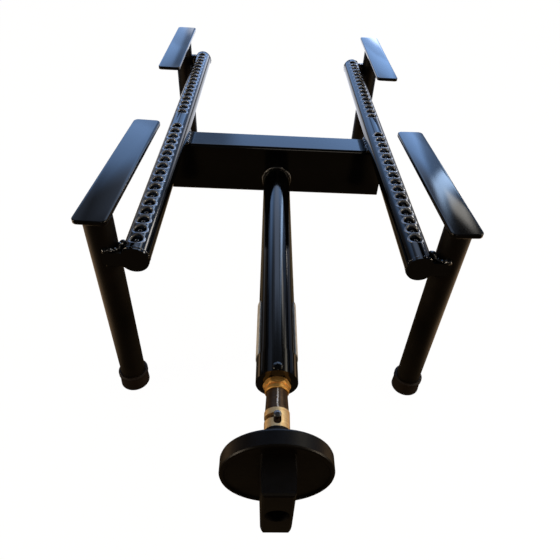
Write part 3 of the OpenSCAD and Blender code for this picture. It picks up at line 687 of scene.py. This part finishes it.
def make_plate_seams():
    """Uneven bead round each end plate, filed back flush with its face, open where the ear is."""
    made = bmesh.new()
    for side in SIDES.values():
        for end in ENDS.values():
            seed = side * 2 + end
            for step in range(SEAM_BLOBS):
                angle = step * math.tau / SEAM_BLOBS
                if side * math.cos(angle) > 0.75:
                    continue
                ring = TUBE_R - SEAM_SUNK + wobble(step, seed, 0.0005)
                place = (side * TUBE_X + ring * math.cos(angle),
                         BURNER_Y + end * (TUBE_HALF - CAP_T - SEAM_BEHIND),
                         BURNER_Z + ring * math.sin(angle))
                add_blob(made, place, SEAM_R + wobble(step + 4, seed, 0.0006), stretch=(1.0, 0.9, 1.0))
    piece = new_piece(made, "plate_seams", WELD_PAINT)
    fuse(piece, 0.0005, 0.00012)


make_pocket_lips("left", 0)
make_pocket_lips("right", 1)
make_port_rims("left", 0)
make_port_rims("right", 1)
make_plate_seams()

# ---------------------------------------------------------------- valve details

RIDGE_START = (0.0002, BODY_REAR_Y - 0.0002, MIX_Z + 0.00855)
RIDGE_SECTION = [(-0.0006, -0.0003), (-0.0004, 0.0002), (0.0004, 0.0002), (0.0006, -0.0003)]
RIDGE_LEN = 0.0184
RIDGE_RISE = 0.0009
RIDGE_W = 0.0012
RIDGE_STEPS = 34

# Section of a domed screw head: share of its radius, share of its height.
SCREW_DOME = [(0.0, 1.0), (0.35, 0.985), (0.66, 0.88), (0.88, 0.64), (0.98, 0.34), (1.0, 0.1), (0.97, 0.0)]
SCREW_STEPS = 36


def make_casting_seam():
    """Ragged parting line along the top of the valve body; its near-white finish is a painted highlight."""
    made = bmesh.new()
    start = Vector(RIDGE_START)
    corners = [made.verts.new(start + Vector((dx, 0.0, dz))) for dx, dz in RIDGE_SECTION]
    face = bmesh.ops.contextual_create(made, geom=ring_of_edges(made, corners))["faces"][0]
    for step in range(RIDGE_STEPS):
        grown = bmesh.ops.extrude_face_region(made, geom=[face])["geom"]
        verts = only_verts(grown)
        if step > 0:
            bmesh.ops.delete(made, geom=[face], context="FACES_ONLY")
        face = [item for item in grown if isinstance(item, bmesh.types.BMFace)][0]
        onward = (0.0, -RIDGE_LEN / RIDGE_STEPS, RIDGE_RISE / RIDGE_STEPS)
        bmesh.ops.translate(made, verts=verts, vec=onward)
        centre = face.calc_center_median()
        wanted = start.x + wobble(step * 1.7, 11, 0.0008)
        width = 1.0 + wobble(step * 2.3, 12, 0.9)
        now = max(v.co.x for v in verts) - min(v.co.x for v in verts)
        for vertex in verts:
            vertex.co.x = wanted + (vertex.co.x - centre.x) * width * RIDGE_W / now
    piece = new_piece(made, "casting_seam", SEAM_HIGHLIGHT)


def cut_cross_arm(piece, head_r, head_h, angle):
    """Cuts one tapered arm of the cross recess out of a screw's head."""
    made = bmesh.new()
    bmesh.ops.create_cube(made, size=1.0)
    bmesh.ops.scale(made, verts=made.verts, vec=(head_r * 1.25, head_r * 0.26, head_h * 1.3))
    low = [v for v in made.verts if v.co.z < 0]
    bmesh.ops.scale(made, verts=low, vec=(0.55, 0.5, 1.0))
    bmesh.ops.translate(made, verts=made.verts, vec=(0.0, 0.0, head_h * 0.95))
    bmesh.ops.rotate(made, verts=made.verts, cent=(0, 0, 0), matrix=Matrix.Rotation(angle, 3, "Z"))
    mesh = bpy.data.meshes.new("cutter")
    made.to_mesh(mesh)
    made.free()
    cutter = bpy.data.objects.new("cutter", mesh)
    bpy.context.scene.collection.objects.link(cutter)
    cut = piece.modifiers.new("cross", "BOOLEAN")
    cut.operation = "DIFFERENCE"
    cut.solver = "EXACT"
    cut.object = cutter
    depsgraph = bpy.context.evaluated_depsgraph_get()
    result = bpy.data.meshes.new_from_object(piece.evaluated_get(depsgraph))
    piece.modifiers.clear()
    piece.data = result
    bpy.data.objects.remove(cutter)


def make_cross_head_screw(name, node, material, place, head_r, head_h, shank_r, shank_len, turn):
    """Upright screw with a domed head and a cross recess; its place is under the head."""
    made = bmesh.new()
    profile = [(head_r * out, head_h * up) for out, up in SCREW_DOME]
    profile += [(shank_r, 0.0), (shank_r, -shank_len), (0.0, -shank_len)]
    points = [made.verts.new((r, 0.0, z)) for r, z in profile]
    lines = [made.edges.new(pair) for pair in zip(points, points[1:])]
    spun(made, points, lines, SCREW_STEPS)
    bmesh.ops.remove_doubles(made, verts=made.verts, dist=1e-7)
    piece = new_piece(made, name, material)
    for angle in (turn, turn + math.pi / 2):
        cut_cross_arm(piece, head_r, head_h, angle)
    piece.data.transform(Matrix.Translation(place))
    smooth_faces(piece.data)
    made = bmesh.new()
    made.from_mesh(piece.data)
    sharpen(made, 35)
    made.to_mesh(piece.data)
    made.free()
    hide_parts(node)
    return piece


make_casting_seam()
guide = make_cross_head_screw("guide_screw_head", "guide_screw", DARK_STEEL,
                              place=(0.0, COLLAR_REAR_Y - 0.0065, MIX_Z + 0.0103),
                              head_r=0.0031, head_h=0.0011, shank_r=0.0015, shank_len=0.0045,
                              turn=math.radians(38))
plug_screw = make_cross_head_screw("sleeve_screw", "plug_screw", PAINT,
                                   place=(0.0, MOUTH_Y + 0.004, MIX_Z + 0.01775),
                                   head_r=0.0043, head_h=0.0013, shank_r=0.002, shank_len=0.0055,
                                   turn=math.radians(20))

# ---------------------------------------------------------------- floor

FLOOR_HALF = 9.0
FLOOR_BROWN = (0.06, 0.045, 0.03, 1.0)
FLOOR_SHOWN = 0.985
WHITE = (1.0, 1.0, 1.0, 1.0)

FAR_GLOW = [(0.0, (0.05, 0.033, 0.016)), (0.38, (0.04, 0.026, 0.012)), (0.60, (1.3, 1.35, 1.5))]
FAR_GLOW_ASIDE = [(0.25, 1.0), (0.45, 0.22)]

# Areas that give off light, the same on both sides: colour, strength by distance aside, strength along Y.
FLOOR_AREAS = [
    # warm, beside the front legs
    ((0.90, 0.59, 0.34),
     [(0.19, 0.0), (0.26, 1.0), (0.6, 1.0), (0.9, 0.0)],
     [(-0.27, 0.0), (-0.17, 1.0), (0.0, 1.0), (0.10, 0.0)]),
    # dim, below the burner tubes
    ((0.17, 0.12, 0.065),
     [(0.05, 0.0), (0.10, 1.0), (0.30, 1.0), (0.36, 0.0)],
     [(0.02, 0.0), (0.06, 1.0), (0.28, 1.0), (0.36, 0.0)]),
]


def fill_floor_material(tree):
    """Dark floor that shows white to the camera, takes shadow, and glows in what reflects it."""
    tree.nodes.remove(tree.nodes["Principled BSDF"])
    diffuse = tree.nodes.new("ShaderNodeBsdfDiffuse")
    diffuse.inputs["Color"].default_value = FLOOR_BROWN
    axes = separated(tree, "Object")
    aside = calculated(tree, "ABSOLUTE", axes["X"])
    total = scaled(tree, ramp(tree, axes["Y"], FAR_GLOW), ramp(tree, aside, FAR_GLOW_ASIDE))
    for colour, across, along in FLOOR_AREAS:
        strength = calculated(tree, "MULTIPLY", ramp(tree, aside, across), graded(tree, axes["Y"], along))
        total = added(tree, total, scaled(tree, colour, strength))
    path = tree.nodes.new("ShaderNodeLightPath").outputs
    glow = tree.nodes.new("ShaderNodeEmission")
    feed(tree, glow.inputs["Color"], mixed(tree, path["Is Camera Ray"], total, WHITE))
    mirrored = calculated(tree, "MAXIMUM", path["Is Glossy Ray"], path["Is Transmission Ray"])
    level = calculated(tree, "MULTIPLY_ADD", path["Is Camera Ray"], FLOOR_SHOWN, mirrored)
    feed(tree, glow.inputs["Strength"], level)
    both = tree.nodes.new("ShaderNodeAddShader")
    tree.links.new(diffuse.outputs[0], both.inputs[0])
    tree.links.new(glow.outputs[0], both.inputs[1])
    tree.links.new(both.outputs[0], tree.nodes["Material Output"].inputs["Surface"])


def add_floor():
    made = bmesh.new()
    bmesh.ops.create_grid(made, x_segments=1, y_segments=1, size=FLOOR_HALF)
    mesh = bpy.data.meshes.new("floor")
    made.to_mesh(mesh)
    made.free()
    floor = bpy.data.objects.new("floor", mesh)
    bpy.context.scene.collection.objects.link(floor)
    material = bpy.data.materials.new("pale_floor")
    material.use_nodes = True
    fill_floor_material(material.node_tree)
    mesh.materials.append(material)

# ---------------------------------------------------------------- sky and lamps

SKY_BASE = [(0.0, (0.10, 0.08, 0.06)), (0.5, (0.06, 0.06, 0.06)), (1.0, (0.05, 0.05, 0.05))]
SKY_FRONT_FADE = [(0.1, 0.0), (0.35, 1.0)]
LEAN_UP = 0.5
LEAN_ACROSS = 0.75

# Bright areas behind the stand, by direction: colour, strength across X, strength by height, and
# whether the height leans, so that places further right count as higher.
SKY_AREAS = [
    # blue windows with darker posts between them
    ((2.7, 4.8, 9.0),
     [(-0.62, 0.0), (-0.5, 0.1), (-0.4, 0.28), (-0.22, 0.29), (-0.168, 0.25), (-0.145, 0.09), (-0.085, 0.10),
      (-0.05, 0.26), (0.1, 0.31), (0.20, 0.40), (0.265, 0.46), (0.30, 0.18), (0.34, 0.12), (0.42, 0.08), (0.6, 0.04)],
     [(-0.12, 0.0), (-0.04, 0.7), (0.25, 0.7), (0.275, 1.0), (0.43, 1.0), (0.46, 0.72), (0.49, 0.42), (0.52, 0.16),
      (0.56, 0.0)],
     False),
    # paler wall above them
    ((1.15, 1.5, 2.2),
     [(-0.6, 0.08), (-0.42, 0.24), (-0.36, 0.08), (-0.22, 0.3), (-0.15, 0.9), (-0.10, 1.0), (0.12, 1.0), (0.22, 0.5),
      (0.34, 0.0)],
     [(0.44, 0.0), (0.52, 1.0), (0.66, 1.0), (0.73, 0.1), (0.80, 0.0)],
     False),
    # narrow leaning streak on the right
    ((3.7, 5.3, 7.8),
     [(0.26, 0.0), (0.29, 1.0), (0.40, 1.0), (0.44, 0.0)],
     [(0.456, 0.0), (0.472, 1.0), (0.505, 0.95), (0.530, 0.30), (0.56, 0.0)],
     True),
    # small white corner beside it
    ((3.1, 3.0, 2.8),
     [(0.33, 0.0), (0.36, 1.0), (0.43, 1.0), (0.48, 0.0)],
     [(0.48, 0.0), (0.51, 1.0), (0.57, 1.0), (0.61, 0.0)],
     False),
    # warm area far to the right
    ((3.2, 2.9, 2.3),
     [(0.50, 0.0), (0.62, 1.0), (0.84, 1.0), (0.95, 0.3)],
     [(0.40, 0.0), (0.50, 1.0), (0.76, 1.0), (0.92, 0.1)],
     False),
    # pale band just above the floor
    ((1.7, 1.75, 1.9),
     [(-0.20, 0.0), (-0.05, 1.0), (0.46, 1.0), (0.56, 0.0)],
     [(-0.3, 1.0), (0.08, 1.0), (0.15, 0.0)],
     False),
]

# Lamps: name, place, point that it faces, width and height, power, colour.
LAMPS = [
    ("side_panel", (2.46, 3.15, 0.98), (0.0, 0.0, 0.15), (0.42, 0.5), 6.0, (1.0, 0.95, 0.88)),
    ("front_fill", (0.3, -2.2, 2.0), (0.0, 0.0, 0.1), (0.8, 0.8), 4.0, (1.0, 0.88, 0.72)),
    ("left_fill", (-2.0, -0.7, 0.45), (0.0, -0.2, 0.1), (0.7, 0.6), 19.0, (1.0, 0.84, 0.64)),
    ("right_fill", (2.0, -0.7, 0.45), (0.0, -0.2, 0.1), (0.7, 0.6), 19.0, (1.0, 0.84, 0.64)),
]


def add_sky():
    """Soft bluish light from behind and above, dim in front; the camera sees plain white."""
    world = bpy.data.worlds.new("sky")
    bpy.context.scene.world = world
    world.use_nodes = True
    tree = world.node_tree
    axes = separated(tree, "Generated")
    lean = calculated(tree, "MULTIPLY_ADD", axes["X"], LEAN_ACROSS, calculated(tree, "MULTIPLY", axes["Z"], LEAN_UP))
    total = graded(tree, axes["Z"], SKY_BASE)
    for colour, width, height, leans in SKY_AREAS:
        strength = calculated(tree, "MULTIPLY", graded(tree, axes["X"], width),
                              graded(tree, lean if leans else axes["Z"], height))
        strength = calculated(tree, "MULTIPLY", strength, graded(tree, axes["Y"], SKY_FRONT_FADE))
        total = added(tree, total, scaled(tree, colour, strength))
    path = tree.nodes.new("ShaderNodeLightPath").outputs
    background = tree.nodes["Background"]
    feed(tree, background.inputs["Color"], mixed(tree, path["Is Camera Ray"], total, WHITE))
    background.inputs["Strength"].default_value = 1.0


def add_softbox(name, place, aim, size, power, colour):
    data = bpy.data.lights.new(name, "AREA")
    data.shape = "RECTANGLE"
    data.size, data.size_y = size
    data.energy = power
    data.color = colour
    lamp = bpy.data.objects.new(name, data)
    bpy.context.scene.collection.objects.link(lamp)
    lamp.location = place
    lamp.rotation_euler = (Vector(aim) - Vector(place)).to_track_quat("-Z", "Y").to_euler()


add_floor()
add_sky()
for lamp in LAMPS:
    add_softbox(*lamp)

bpy.context.scene.view_settings.view_transform = "Standard"
